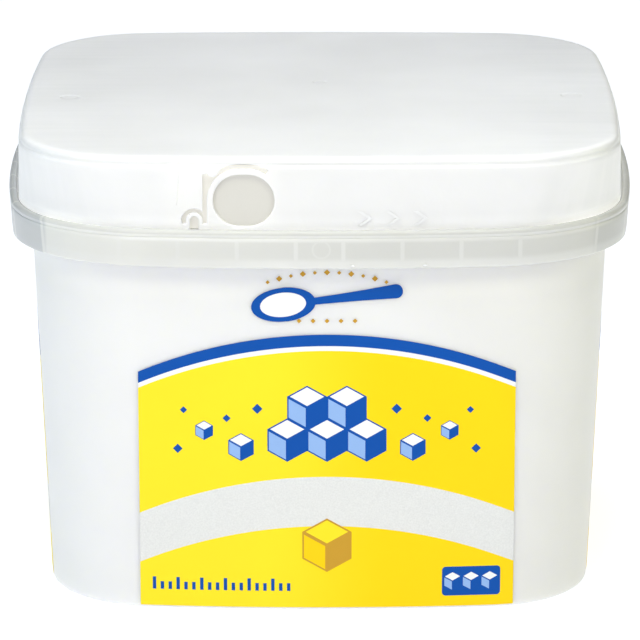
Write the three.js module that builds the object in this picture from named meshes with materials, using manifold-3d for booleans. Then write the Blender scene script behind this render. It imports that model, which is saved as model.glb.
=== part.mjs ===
// A shut plastic tub of sugar: a tapering square tub with round corners and bowed
// sides, a ribbed collar under its mouth, and a press-on lid with a tear-off ring.
// Millimetres, +Z up, the middle of the base at the origin, the front towards -Y.
// The tub is sealed and full, so it is solid up to the underside of the lid.

import * as THREE from 'three';
import { mergeVertices } from 'three/addons/utils/BufferGeometryUtils.js';
import Module from 'manifold-3d';

// ---- driving dimensions -------------------------------------------------------------

const GAP = 0.3; // between neighbouring pieces
const SIDE_STEPS = 7; // facets along a side of an outline
const CORNER_STEPS = 10; // facets round a corner of an outline
const CUT_STEPS = 6; // sets how finely the arcs of cuts and printed fields are drawn

// An outline is a square with round corners whose sides bow outwards:
// half = half its width at mid-side, radius = its corners, bow = the rise of a side.
const BASE = { half: 69.2, radius: 27.3, bow: 5.5 };
const WALL_TOP = { half: 73, radius: 29.5, bow: 5.2 };
const COLLAR_TOP = { half: 78.5, radius: 37, bow: 7.1 };
const COLLAR_FOOT = { half: 78, radius: 37.5, bow: 7.4 };
const LID = { half: 75.2, radius: 29, bow: 3.4 };
const SKIRT_FOOT = { half: 75.65, radius: 35.5, bow: 4.2 };

const BASE_EDGE_RADIUS = 1.6;

const COLLAR_FOOT_Z = 89.5;
const COLLAR_UNDERSIDE_Z = 96.8;
const COLLAR_LEDGE_Z = 98;
const COLLAR_BEAD_Z = 98.95;
const COLLAR_BEAD_WIDTH = 1.8;
const COLLAR_WALL = 1.6;

const RIB_THICKNESS = 1;
const RIB_PITCH = 14.2;
const RIBS_EACH_SIDE_OF_MIDDLE = 4;
const FIRST_RIB_OFFSET = 5.7;
const RIB_FOOT_Z = 90.9;
const CORNER_RIB_START = 84; // from the middle of the tub, inside the wall's round corner

const LID_PLATE_Z = 116.15;
const LID_CROWN = 0.1;
const LID_EDGE = { width: 2.15, depth: 1.3 }; // the round from the skirt on to the plate
const LID_SHOULDER = { inset: 0.45, foot: 113.6, top: 114.5 }; // where the skirt steps in
const LID_THICKNESS = 1.2;
const SKIRT_FOOT_Z = 98.35;

const NECK_CLEARANCE = 0.85; // between the neck and the inside of the skirt's foot
const NECK_TOP_CLEARANCE = 0.4;
const NECK_TOP_Z = LID_PLATE_Z - LID_THICKNESS - NECK_TOP_CLEARANCE;

// The finger hole and the ring round it, on the front of the skirt.
const HOLE = { x: -18.25, z: 105.7, radius: 6.35, stretch: 1.05 };
const RING_WIDTH = 1.45;
const SLOT = { width: 1, endAngle: THREE.MathUtils.degToRad(57), footZ: 99.95, shoulderZ: 111.95 };
const LOBE = {
  x: -25.75,
  z: 112.95,
  radius: 1.5,
  endAngle: THREE.MathUtils.degToRad(-29), // where its own round stops
  meetsAngle: THREE.MathUtils.degToRad(120), // where the arc over the ring starts
};
const TONGUE = { x: -30.15, z: 100.6 };
const NOTCH = { width: 2, top: 101.75 };

const ARROW = { xs: [10.95, 17.65, 24.35], z: 101.35, width: 3.6, height: 3.6, stroke: 1.05 };
const ARROW_RELIEF = 0.3;

// The printed panels, left to right as each is seen, and the fields of colour in them.
const WIDE_PANEL = { left: -44.25, right: 47.85 }; // on the front and the back
const NARROW_PANEL = { left: -40, right: 44 }; // on the other two sides
const PANEL_FOOT_Z = 0.8;
const PRINT_RISE = 10; // how far each arched edge rises to its middle
const STRIPE = { crown: 71.5, depth: 2.9 };
const WHITE_LINE = 1.2;
const RIBBON = { crown: 35, depth: 12.8 };
const INLAY_DEPTH = 0.5;
const POCKET_DEPTH = 0.8;

// ---- materials ----------------------------------------------------------------------

function plastic(name, color, roughness) {
  return new THREE.MeshStandardMaterial({ name, color, roughness, metalness: 0 });
}

const materials = {
  tub: plastic('natural_tub', 0xe6e7e3, 0.4),
  lid: plastic('white_lid', 0xf4f6f5, 0.35),
  blue: plastic('print_blue', 0x2350a8, 0.4),
  lemon: plastic('print_lemon', 0xfff04a, 0.4),
  golden: plastic('print_golden', 0xffe02a, 0.4),
  grain: plastic('print_white', 0xf3f3f0, 0.5),
};

// ---- outlines and lofts ---------------------------------------------------------------

function inset(outline, amount) {
  return {
    half: outline.half - amount,
    radius: outline.radius - amount,
    bow: outline.bow,
  };
}

function scaled(outline, factor) {
  return {
    half: outline.half * factor,
    radius: outline.radius * factor,
    bow: outline.bow * factor,
  };
}

function between(a, b, t) {
  return {
    half: THREE.MathUtils.lerp(a.half, b.half, t),
    radius: THREE.MathUtils.lerp(a.radius, b.radius, t),
    bow: THREE.MathUtils.lerp(a.bow, b.bow, t),
  };
}

// Each side is an arc through its middle, and each corner is an arc tangent to two sides.
function outlineArcs({ half, radius, bow }) {
  const sideRadius = (half * half + bow * bow) / (2 * bow);
  const sideCentre = half - sideRadius;
  const reach = sideRadius - radius;
  const corner = (sideCentre + Math.sqrt(2 * reach * reach - sideCentre * sideCentre)) / 2;
  const sideAngle = Math.atan2(corner, corner - sideCentre);
  const arcs = [];
  for (let quarter = 0; quarter < 4; quarter += 1) {
    const turn = (quarter * Math.PI) / 2;
    const side = new THREE.Vector2(sideCentre, 0).rotateAround(new THREE.Vector2(), turn);
    const round = new THREE.Vector2(corner, corner).rotateAround(new THREE.Vector2(), turn);
    const meets = turn + Math.PI / 2 - sideAngle;
    arcs.push({
      curve: new THREE.ArcCurve(side.x, side.y, sideRadius, turn - sideAngle, turn + sideAngle),
      steps: SIDE_STEPS,
    });
    arcs.push({
      curve: new THREE.ArcCurve(round.x, round.y, radius, turn + sideAngle, meets),
      steps: CORNER_STEPS,
    });
  }
  return arcs;
}

function outlinePoints(outline) {
  return outlineArcs(outline).flatMap(({ curve, steps }) => curve.getPoints(steps).slice(0, -1));
}

// A closed skin through rings of equal count, ended by a fan at each end.
// A ring is an outline with its height; the first faces down and the last faces up.
function loft(rings) {
  const positions = [];
  const index = [];
  let count = 0;
  for (const ring of rings) {
    const points = outlinePoints(ring);
    count = points.length;
    for (const point of points) positions.push(point.x, point.y, ring.z);
  }
  for (let level = 0; level < rings.length - 1; level += 1) {
    for (let step = 0; step < count; step += 1) {
      const next = (step + 1) % count;
      const a = level * count + step;
      const b = level * count + next;
      const c = (level + 1) * count + step;
      const d = (level + 1) * count + next;
      index.push(a, b, d, a, d, c);
    }
  }
  const foot = rings.length * count;
  const head = foot + 1;
  const last = (rings.length - 1) * count;
  positions.push(0, 0, rings[0].z, 0, 0, rings[rings.length - 1].z);
  for (let step = 0; step < count; step += 1) {
    const next = (step + 1) % count;
    index.push(foot, next, step);
    index.push(head, last + step, last + next);
  }
  const geometry = new THREE.BufferGeometry();
  geometry.setAttribute('position', new THREE.Float32BufferAttribute(positions, 3));
  geometry.setIndex(index);
  return geometry;
}

// The rings of a round that touches an outline from inside, with its centre at height z.
// Its angles run from straight out (0) to straight up (a quarter turn). It reaches `radius`
// up from its centre, and as far inwards unless a width is given.
function roundedEdge(outline, z, radius, from, to, steps, width = radius) {
  const rings = [];
  for (let step = 0; step <= steps; step += 1) {
    const angle = THREE.MathUtils.lerp(from, to, step / steps);
    const inwards = width * (1 - Math.cos(angle));
    rings.push({ ...inset(outline, inwards), z: z + radius * Math.sin(angle) });
  }
  return rings;
}

// ---- solids: joining and cutting ------------------------------------------------------

const wasm = await Module();
wasm.setup();

function toSolid(geometry) {
  const bare = geometry.clone();
  bare.deleteAttribute('normal');
  bare.deleteAttribute('uv');
  const merged = mergeVertices(bare, 1e-4);
  return new wasm.Manifold(
    new wasm.Mesh({
      numProp: 3,
      vertProperties: new Float32Array(merged.attributes.position.array),
      triVerts: new Uint32Array(merged.index.array),
    }),
  );
}

function toGeometry(solid) {
  const mesh = solid.getMesh();
  const geometry = new THREE.BufferGeometry();
  geometry.setAttribute('position', new THREE.BufferAttribute(mesh.vertProperties, mesh.numProp));
  geometry.setIndex(new THREE.BufferAttribute(mesh.triVerts, 1));
  geometry.computeVertexNormals();
  return geometry;
}

// A shape drawn in (x, z) becomes a bar that runs through the front, along Y.
function frontBar(shape, nearest, farthest) {
  const depth = farthest - nearest;
  const geometry = new THREE.ExtrudeGeometry(shape, {
    depth,
    bevelEnabled: false,
    curveSegments: CUT_STEPS,
  });
  geometry.rotateX(Math.PI / 2);
  geometry.translate(0, -nearest, 0);
  return geometry;
}

// ---- tub ------------------------------------------------------------------------------

function wallAt(z) {
  return { ...between(BASE, WALL_TOP, z / COLLAR_UNDERSIDE_Z), z };
}

function collarAt(z) {
  const rise = (z - COLLAR_FOOT_Z) / (COLLAR_BEAD_Z - COLLAR_FOOT_Z);
  return { ...between(COLLAR_FOOT, COLLAR_TOP, rise), z };
}

function neckOutline() {
  return inset(SKIRT_FOOT, LID_THICKNESS + NECK_CLEARANCE);
}

// From the base up the wall, out and down the inside of the collar, up its face, over the
// bead on its edge, in across the ledge, and up the neck.
function tubGeometry() {
  const baseEdge = wallAt(BASE_EDGE_RADIUS);
  const bead = collarAt(COLLAR_BEAD_Z);
  const beadRadius = COLLAR_BEAD_WIDTH / 2;
  return loft([
    ...roundedEdge(baseEdge, BASE_EDGE_RADIUS, BASE_EDGE_RADIUS, -Math.PI / 2, 0, 3),
    wallAt(COLLAR_UNDERSIDE_Z),
    { ...inset(collarAt(COLLAR_UNDERSIDE_Z), COLLAR_WALL), z: COLLAR_UNDERSIDE_Z },
    { ...inset(COLLAR_FOOT, COLLAR_WALL), z: COLLAR_FOOT_Z },
    { ...COLLAR_FOOT, z: COLLAR_FOOT_Z },
    ...roundedEdge(bead, COLLAR_BEAD_Z - beadRadius, beadRadius, 0, Math.PI, 4),
    { ...inset(bead, COLLAR_BEAD_WIDTH), z: COLLAR_LEDGE_Z },
    { ...neckOutline(), z: COLLAR_LEDGE_Z },
    { ...neckOutline(), z: NECK_TOP_Z },
  ]);
}

// A plate that stands edge on to the front, from `inner` out past the collar.
function ribBar(inner, offset, turn) {
  const height = COLLAR_UNDERSIDE_Z - RIB_FOOT_Z + GAP;
  const outer = COLLAR_TOP.half * Math.SQRT2;
  const geometry = new THREE.BoxGeometry(RIB_THICKNESS, outer - inner, height);
  geometry.translate(offset, -(outer + inner) / 2, RIB_FOOT_Z + height / 2);
  geometry.rotateZ(turn);
  return toSolid(geometry);
}

// The ribs join the wall to the collar: they start inside the one and stop inside the other.
function ribs() {
  const middle = inset(COLLAR_FOOT, COLLAR_WALL / 2);
  const limit = toSolid(loft([{ ...middle, z: 0 }, { ...middle, z: LID_PLATE_Z }]));
  const bars = [];
  for (let quarter = 0; quarter < 4; quarter += 1) {
    const turn = (quarter * Math.PI) / 2;
    for (let rib = 0; rib < RIBS_EACH_SIDE_OF_MIDDLE; rib += 1) {
      const offset = FIRST_RIB_OFFSET + rib * RIB_PITCH;
      bars.push(ribBar(BASE.half, offset, turn), ribBar(BASE.half, -offset, turn));
    }
    bars.push(ribBar(CORNER_RIB_START, 0, turn + Math.PI / 4));
  }
  return bars.reduce((sum, bar) => sum.add(bar)).intersect(limit);
}

// ---- print ----------------------------------------------------------------------------

// An arched edge across a panel: the arc through both ends that rises to the crown.
function arch(panel, crown, left, right) {
  const middle = (panel.left + panel.right) / 2;
  const halfSpan = (panel.right - panel.left) / 2;
  const radius = (halfSpan * halfSpan + PRINT_RISE * PRINT_RISE) / (2 * PRINT_RISE);
  const centre = crown - radius;
  return {
    middle,
    centre,
    radius,
    from: Math.acos((left - middle) / radius),
    to: Math.acos((right - middle) / radius),
  };
}

function follow(shape, edge, from, to) {
  shape.absarc(edge.middle, edge.centre, edge.radius, from, to, from > to);
}

// A field between two arched edges. grow widens it all round, and less than 0 narrows it.
function archedField(panel, top, foot, grow) {
  const left = panel.left - grow;
  const right = panel.right + grow;
  const upper = arch(panel, top + grow, left, right);
  const lower = arch(panel, foot - grow, left, right);
  const shape = new THREE.Shape();
  follow(shape, upper, upper.from, upper.to);
  follow(shape, lower, lower.to, lower.from);
  return shape;
}

// A field under an arched edge, with a straight foot.
function footedField(panel, top, foot, grow) {
  const left = panel.left - grow;
  const right = panel.right + grow;
  const upper = arch(panel, top + grow, left, right);
  const shape = new THREE.Shape();
  follow(shape, upper, upper.from, upper.to);
  shape.lineTo(right, foot - grow);
  shape.lineTo(left, foot - grow);
  return shape;
}

const stripeFoot = STRIPE.crown - STRIPE.depth;
const panelCrown = stripeFoot - WHITE_LINE;
const ribbonFoot = RIBBON.crown - RIBBON.depth;
const narrower = -GAP / 2;
const wider = GAP / 2;

function printFields(panel) {
  return [
    {
      name: 'stripe',
      material: materials.blue,
      shape: archedField(panel, STRIPE.crown, stripeFoot, narrower),
    },
    {
      name: 'upper_field',
      material: materials.lemon,
      shape: archedField(panel, panelCrown, RIBBON.crown, narrower),
    },
    {
      name: 'ribbon',
      material: materials.grain,
      shape: archedField(panel, RIBBON.crown, ribbonFoot, narrower),
    },
    {
      name: 'lower_field',
      material: materials.golden,
      shape: footedField(panel, ribbonFoot, PANEL_FOOT_Z, narrower),
    },
  ];
}

function pocketShapes(panel) {
  return [
    archedField(panel, STRIPE.crown, stripeFoot, wider),
    footedField(panel, panelCrown, PANEL_FOOT_Z, wider),
  ];
}

// What lies more than a depth behind the face of the wall.
function wallCore(depth) {
  return toSolid(
    loft([
      { ...inset(wallAt(-1), depth), z: -1 },
      { ...inset(wallAt(COLLAR_UNDERSIDE_Z), depth), z: COLLAR_UNDERSIDE_Z },
    ]),
  );
}

function onSide(shape, turn) {
  const bar = frontBar(shape, BASE.half / 2, COLLAR_TOP.half * 2);
  bar.rotateZ(turn);
  return toSolid(bar);
}

// ---- lid ------------------------------------------------------------------------------

function skirtAt(z) {
  const rise = (z - SKIRT_FOOT_Z) / (LID_SHOULDER.foot - SKIRT_FOOT_Z);
  return { ...between(SKIRT_FOOT, LID, rise), z };
}

function lidGeometry() {
  const underside = LID_PLATE_Z - LID_THICKNESS;
  const upper = inset(LID, LID_SHOULDER.inset);
  const plate = inset(upper, LID_EDGE.width);
  const inside = inset(LID, LID_THICKNESS);
  const footInside = inset(skirtAt(SKIRT_FOOT_Z), LID_THICKNESS);
  const crownRing = (share) => ({
    ...scaled(plate, share),
    z: LID_PLATE_Z + LID_CROWN * (1 - share * share),
  });
  const edgeZ = LID_PLATE_Z - LID_EDGE.depth;
  return loft([
    { ...inside, z: underside },
    { ...footInside, z: SKIRT_FOOT_Z },
    skirtAt(SKIRT_FOOT_Z),
    skirtAt(LID_SHOULDER.foot),
    { ...upper, z: LID_SHOULDER.top },
    ...roundedEdge(upper, edgeZ, LID_EDGE.depth, 0, Math.PI / 2, 3, LID_EDGE.width),
    crownRing(0.75),
    crownRing(0.4),
    crownRing(0.1),
  ]);
}

// A bar right through the front of the skirt.
function frontCut(shape) {
  return toSolid(frontBar(shape, LID.half / 2, LID.half * 1.1));
}

// The finger hole is two half circles, a little apart.
function holeShape() {
  const shape = new THREE.Shape();
  shape.absarc(HOLE.x + HOLE.stretch, HOLE.z, HOLE.radius, -Math.PI / 2, Math.PI / 2);
  shape.absarc(HOLE.x - HOLE.stretch, HOLE.z, HOLE.radius, Math.PI / 2, (3 * Math.PI) / 2);
  return shape;
}

// The slot runs over the ring, down its left side, and round the tongue beside it.
function slotShape() {
  const ring = HOLE.radius + RING_WIDTH;
  const outer = ring + SLOT.width;
  const rightCentre = HOLE.x + HOLE.stretch;
  const leftCentre = HOLE.x - HOLE.stretch;
  const slotRight = leftCentre - ring;
  const slotLeft = slotRight - SLOT.width;
  const tongueInner = slotLeft - TONGUE.x;
  const tongueOuter = slotRight - TONGUE.x;
  const tongueMeets = Math.acos(tongueInner / tongueOuter);
  const lobeStart = Math.atan2(-LOBE.radius, slotLeft - LOBE.x);
  const shape = new THREE.Shape();
  shape.absarc(rightCentre, HOLE.z, ring, SLOT.endAngle, Math.PI / 2);
  shape.absarc(leftCentre, HOLE.z, ring, Math.PI / 2, Math.PI);
  shape.lineTo(slotRight, SLOT.footZ);
  shape.lineTo(slotLeft, SLOT.footZ);
  shape.absarc(TONGUE.x, TONGUE.z, tongueInner, 0, Math.PI);
  shape.lineTo(TONGUE.x - tongueInner, SLOT.footZ);
  shape.lineTo(TONGUE.x - tongueOuter, SLOT.footZ);
  shape.absarc(TONGUE.x, TONGUE.z, tongueOuter, Math.PI, tongueMeets, true);
  shape.lineTo(slotLeft, SLOT.shoulderZ);
  shape.absarc(LOBE.x, LOBE.z, LOBE.radius, lobeStart, LOBE.endAngle);
  shape.absarc(leftCentre, HOLE.z, outer, LOBE.meetsAngle, Math.PI / 2, true);
  shape.absarc(rightCentre, HOLE.z, outer, Math.PI / 2, SLOT.endAngle, true);
  return shape;
}

// A slit up the foot of the tongue, with a round end.
function notchShape() {
  const half = NOTCH.width / 2;
  const shape = new THREE.Shape();
  shape.moveTo(TONGUE.x - half, SKIRT_FOOT_Z - 1);
  shape.lineTo(TONGUE.x + half, SKIRT_FOOT_Z - 1);
  shape.absarc(TONGUE.x, NOTCH.top - half, half, 0, Math.PI);
  return shape;
}

// An open arrowhead that points right.
function arrowShape(x) {
  const { z, width, height, stroke } = ARROW;
  const shape = new THREE.Shape();
  shape.moveTo(x - width / 2, z + height / 2);
  shape.lineTo(x + width / 2 - stroke, z);
  shape.lineTo(x - width / 2, z - height / 2);
  shape.lineTo(x - width / 2 + stroke, z - height / 2);
  shape.lineTo(x + width / 2, z);
  shape.lineTo(x - width / 2 + stroke, z + height / 2);
  return shape;
}

// A straight block on the outline of the skirt at the arrows, less an inset.
function skirtBlock(amount) {
  const ring = inset(skirtAt(ARROW.z), amount);
  return toSolid(loft([{ ...ring, z: 0 }, { ...ring, z: LID_PLATE_Z }]));
}

// The arrows reach from half way into the skirt to a little proud of it.
function arrows() {
  const bars = ARROW.xs.map((x) => frontCut(arrowShape(x)));
  const all = bars.reduce((sum, bar) => sum.add(bar));
  return all.intersect(skirtBlock(-ARROW_RELIEF)).subtract(skirtBlock(LID_THICKNESS / 2));
}

function lidSolid() {
  const cuts = [holeShape(), slotShape(), notchShape()].map(frontCut);
  const cut = cuts.reduce((rest, bar) => rest.subtract(bar), toSolid(lidGeometry()));
  return cut.add(arrows());
}

// ---- the part -------------------------------------------------------------------------

function mesh(name, solid, material) {
  const result = new THREE.Mesh(toGeometry(solid), material);
  result.name = name;
  return result;
}

const part = new THREE.Group();
part.name = 'tub_of_sugar';

const tubSkin = toSolid(tubGeometry());
const inlayFloor = wallCore(INLAY_DEPTH);
const pocketFloor = wallCore(POCKET_DEPTH);
let tub = tubSkin.add(ribs());
const sides = {
  front: WIDE_PANEL,
  right: NARROW_PANEL,
  back: WIDE_PANEL,
  left: NARROW_PANEL,
};
Object.entries(sides).forEach(([side, panel], quarter) => {
  const turn = (quarter * Math.PI) / 2;
  for (const shape of pocketShapes(panel)) {
    tub = tub.subtract(onSide(shape, turn).subtract(pocketFloor));
  }
  for (const field of printFields(panel)) {
    const inlay = onSide(field.shape, turn).intersect(tubSkin).subtract(inlayFloor);
    part.add(mesh(`print_${side}_${field.name}`, inlay, field.material));
  }
});
part.add(mesh('tub', tub, materials.tub));
part.add(mesh('lid', lidSolid(), materials.lid));

export default part;
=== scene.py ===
"""A shut plastic tub of sugar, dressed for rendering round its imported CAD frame.

Lengths below are in millimetres, in the frame of the CAD model: +Z up, -Y to the front.
They are turned into metres when a mesh or a material is made. The stage is in metres.
"""

import math

import bmesh
import bpy
import numpy as np
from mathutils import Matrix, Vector, geometry


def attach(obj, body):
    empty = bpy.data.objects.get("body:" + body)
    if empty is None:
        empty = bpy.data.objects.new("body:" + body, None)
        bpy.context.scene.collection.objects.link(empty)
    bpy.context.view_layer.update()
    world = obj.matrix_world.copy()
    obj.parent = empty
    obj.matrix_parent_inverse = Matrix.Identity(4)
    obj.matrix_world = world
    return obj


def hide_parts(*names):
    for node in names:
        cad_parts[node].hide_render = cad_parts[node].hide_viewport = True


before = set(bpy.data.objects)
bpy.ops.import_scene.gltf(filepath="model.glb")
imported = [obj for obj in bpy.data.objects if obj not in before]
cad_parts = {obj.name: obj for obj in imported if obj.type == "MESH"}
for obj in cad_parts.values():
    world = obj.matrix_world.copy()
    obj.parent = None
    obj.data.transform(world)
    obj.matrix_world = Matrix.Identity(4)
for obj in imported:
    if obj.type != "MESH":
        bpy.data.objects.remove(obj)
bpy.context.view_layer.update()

MM = 0.001
RIGHT_ANGLE = math.pi / 2

# ---- dimensions ----
# An outline is a square with round corners and bowed sides: (half width, corner radius, bow).

BASE = (69.2, 27.3, 5.5)
WALL_TOP = (73.0, 29.5, 5.2)
COLLAR_TOP = (78.5, 37.0, 7.1)
COLLAR_FOOT = (78.0, 37.5, 7.4)
LID = (75.2, 29.0, 3.4)
SKIRT_FOOT = (75.65, 35.5, 4.2)
NECK_OUTLINE = (73.6, 33.45, 4.2)
SIDE_STEPS = 48
CORNER_STEPS = 26

BASE_ROUND = 1.6
COLLAR_FOOT_Z = 89.5
COLLAR_FOOT_ROUND = 0.4
COLLAR_UNDERSIDE_Z = 96.8
UNDERSIDE_ROUND = 0.8
COLLAR_LEDGE_Z = 98.0
COLLAR_BEAD_Z = 98.95
COLLAR_BEAD_WIDTH = 1.8
COLLAR_WALL = 1.6
NECK_TOP_Z = 114.55
NECK_TOP_BEVEL = 0.5

RIB = {"thickness": 1.0, "pitch": 14.2, "first": 5.7, "each_way": 4, "foot_z": 90.9,
       "draft": 0.12, "into_wall": 1.5, "into_ceiling": 0.4}
CORNER_RIB = (67.0, 62.85)  # where its middle meets the collar's outer face, as |x| and |y|

LID_PLATE_Z = 116.15
LID_CROWN = 0.1
LID_EDGE = {"width": 2.15, "depth": 1.3}
LID_SHOULDER = {"inset": 0.45, "foot": 113.6, "top": 114.5}
LID_THICKNESS = 1.2
SKIRT_FOOT_Z = 98.35
ROUND_START_Z = LID_PLATE_Z - LID_EDGE["depth"]
PLATE_SHARES = (0.985, 0.96, 0.92, 0.86, 0.78, 0.68, 0.56, 0.42, 0.27, 0.12)

HOLE = {"x": -18.25, "z": 105.7, "radius": 6.35, "stretch": 1.05}
RING_WIDTH = 1.45
SLOT = {"width": 1.0, "end_angle": math.radians(57), "foot_z": 99.95, "shoulder_z": 111.95}
LOBE = {"x": -25.75, "z": 112.95, "radius": 1.5, "end": math.radians(-29),
        "meets": math.radians(120)}
TONGUE = {"x": -30.15, "z": 100.6}
NOTCH = {"width": 2.0, "top": 101.75}
CUT_PANEL = {"left": -37.5, "right": -8.0}
ARROW = {"xs": (10.95, 17.65, 24.35), "z": 101.35, "width": 3.6, "height": 3.6, "stroke": 1.05,
         "relief": 0.08, "root": 0.3}
SCORE = {"foot_x": -34.9, "top_x": -33.55, "depth": 0.12, "width": 0.32, "share": 0.995}
CUT_ROUND = 0.25
FOOT_ROUND = 0.15
CUT_SPACING = 0.25
CUT_MARGIN = 0.6  # the last row of points beside a cut
GRID_SPACING = 1.5

WIDE_PANEL = {"left": -44.25, "right": 47.85}
NARROW_PANEL = {"left": -40.0, "right": 44.0}
PANEL_FOOT_Z = 0.8
PRINT_RISE = 10.0
STRIPE = {"crown": 71.5, "depth": 2.9}
WHITE_LINE = 1.2
RIBBON = {"crown": 35.0, "depth": 12.8}
FOOT_LEVELS = [1.0, 1.3, BASE_ROUND]  # rows of the print over the base's round
INK_GRID = {"across": 1.2, "up": 4.0, "margin": 0.5, "round_margin": 0.15}
INK_ROOT = 0.12
FIELD_PROUD = 0.05
MOTIF_PROUD = 0.08
DETAIL_PROUD = 0.11

# Plain motifs on the front, where the pack has words and badges. Places are (x, z).
PANEL_MIDDLE = (WIDE_PANEL["left"] + WIDE_PANEL["right"]) / 2
PILE = {"z": 44.5, "size": 5.6}
LOOSE_CUBES = ((21.0, 42.6, 3.6), (30.0, 46.8, 2.5))  # away from the middle, height, size
LOOSE_GRAINS = ((17.0, 52.5, 1.3), (24.5, 50.0, 1.0), (36.5, 42.0, 1.2), (35.0, 52.0, 0.9))
CUBE_FACE_SHARE = 0.86  # what its outline leaves of a cube's faces
SPOON = {"z": 80.4, "tilt": math.radians(7), "bowl": -10.73, "reach": 7.77, "half_width": 4.255,
         "end": 18.5, "end_round": 1.85, "neck": 0.814, "flare": 1.11, "sugar_share": 0.72}
GRAIN_ARC = {"crown": 87.3, "radius": 42.0, "half_angle": math.radians(20), "count": 11,
             "sizes": (0.5, 0.75)}
GRAIN_ROW = {"z": 75.0, "pitch": 3.4, "each_side": 2, "size": 0.6}
GOLD_CUBE = {"z": 17.2, "size": 7.0}
SCALE_BARS = {"left": -41.2, "foot": 5.2, "pitch": 1.95, "count": 18, "width": 0.85,
              "long": 3.2, "short": 2.0, "long_each": 3}
BADGE = {"left": 30.2, "right": 44.6, "foot": 3.6, "top": 11.2, "round": 0.9,
         "cube_pitch": 4.6, "cube_size": 2.5}

# Marks of the mould. The plate's are (x, y, radius).
PLATE_MARKS = ((-63.2, -7.8, 2.4), (0.0, 9.9, 1.7), (63.8, -5.5, 2.6))
COLLAR_MARK = {"x": 0.4, "z": 94.3, "radius": 2.1}
COLLAR_NIBS = {"xs": (8.0, 25.4), "z": 90.3, "half": (0.55, 0.3, 0.28)}


# ---- outlines ----

def inset(outline, amount):
    return (outline[0] - amount, outline[1] - amount, outline[2])


def between(a, b, t):
    return tuple(p + (q - p) * t for p, q in zip(a, b))


def spun(x, y, turn):
    """A point turned about the vertical axis."""
    c, s = math.cos(turn), math.sin(turn)
    return x * c - y * s, x * s + y * c


def arcs(outline):
    """Side arc radius and centre, corner centre, and the angle at which they meet."""
    half, radius, bow = outline
    side_radius = (half * half + bow * bow) / (2 * bow)
    centre = half - side_radius
    reach = side_radius - radius
    corner = (centre + math.sqrt(2 * reach * reach - centre * centre)) / 2
    return side_radius, centre, corner, math.atan2(corner, corner - centre)


def outline_points(outline):
    """Points and outward normals of an outline, from the right side's start, anticlockwise."""
    side_radius, centre, corner, meet = arcs(outline)
    spans = ((centre, 0.0, side_radius, -meet, 2 * meet, SIDE_STEPS),
             (corner, corner, outline[1], meet, RIGHT_ANGLE - 2 * meet, CORNER_STEPS))
    result = []
    for quarter in range(4):
        turn = quarter * RIGHT_ANGLE
        for x, y, radius, start, sweep, steps in spans:
            for step in range(steps):
                angle = start + sweep * step / steps
                nx, ny = math.cos(angle), math.sin(angle)
                result.append((spun(x + radius * nx, y + radius * ny, turn), spun(nx, ny, turn)))
    return result


def front_point(outline, x):
    """The y and the outward normal of the front side at x, its round corners included."""
    side_radius, centre, corner, meet = arcs(outline)
    if abs(x) <= side_radius * math.sin(meet):
        depth = math.sqrt(side_radius ** 2 - x * x)
        return -(centre + depth), (x / side_radius, -depth / side_radius)
    away = abs(x) - corner
    depth = math.sqrt(max(outline[1] ** 2 - away * away, 0.0))
    return -(corner + depth), (math.copysign(away / outline[1], x), -depth / outline[1])


def ring(outline, z):
    return [(*point, z) for point, _ in outline_points(outline)]


def quarter_round(radius, start, end, steps):
    """(inwards, up) pairs round an edge that is touched from inside, measured from its centre."""
    angles = [start + (end - start) * step / steps for step in range(steps + 1)]
    return [(radius * (1 - math.cos(angle)), radius * math.sin(angle)) for angle in angles]


def pairs(line, closed=True):
    """Each item of a line with the next one."""
    return list(zip(line, line[1:] + line[:1] if closed else line[1:]))


# ---- meshes ----

def smooth(mesh, angle):
    mesh.shade_smooth()
    mesh.set_sharp_from_angle(angle=math.radians(angle))


def new_object(name, vertices, faces, smooth_angle=None):
    """An object from points in mm. Coincident points are joined and faces turned out."""
    mesh = bpy.data.meshes.new(name)
    mesh.from_pydata([tuple(c * MM for c in v) for v in vertices], [], faces)
    shape = bmesh.new()
    shape.from_mesh(mesh)
    bmesh.ops.remove_doubles(shape, verts=shape.verts, dist=1e-7)
    bmesh.ops.recalc_face_normals(shape, faces=shape.faces)
    shape.to_mesh(mesh)
    shape.free()
    mesh.update()
    result = bpy.data.objects.new(name, mesh)
    bpy.context.scene.collection.objects.link(result)
    if smooth_angle is not None:
        smooth(mesh, smooth_angle)
    return result


def add_points(vertices, points):
    """Adds vertices and returns their numbers."""
    start = len(vertices)
    vertices.extend(points)
    return range(start, len(vertices))


def bridge(faces, below, above, skipped=()):
    """Adds the faces between two rings of vertex numbers, less the columns that are skipped."""
    for step in range(len(below)):
        if step not in skipped:
            after = (step + 1) % len(below)
            faces.append((below[step], below[after], above[after], above[step]))


def add_loft(vertices, faces, rings):
    """Adds a closed skin through rings of equal count."""
    numbers = [add_points(vertices, line) for line in rings]
    for below, above in zip(numbers, numbers[1:]):
        bridge(faces, below, above)
    faces.append(tuple(reversed(numbers[0])))
    faces.append(tuple(numbers[-1]))


def add_shell(faces, outer, inner, triangles, is_open=lambda a, b: False):
    """Adds the two faces of a plate, and walls round it except where its edge is open."""
    edges = set()
    for a, b, c in triangles:
        faces.append((outer[a], outer[b], outer[c]))
        faces.append((inner[c], inner[b], inner[a]))
        edges.update(((a, b), (b, c), (c, a)))
    for a, b in edges:
        if (b, a) not in edges and not is_open(a, b):
            faces.append((outer[b], outer[a], inner[a], inner[b]))


def triangulate(points, edges):
    """The points and triangles of a flat drawing, cut along its edges."""
    verts, _, faces, _, _, _ = geometry.delaunay_2d_cdt([Vector(p) for p in points], edges, [], 0, 1e-5)
    return [(v.x, v.y) for v in verts], faces


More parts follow.
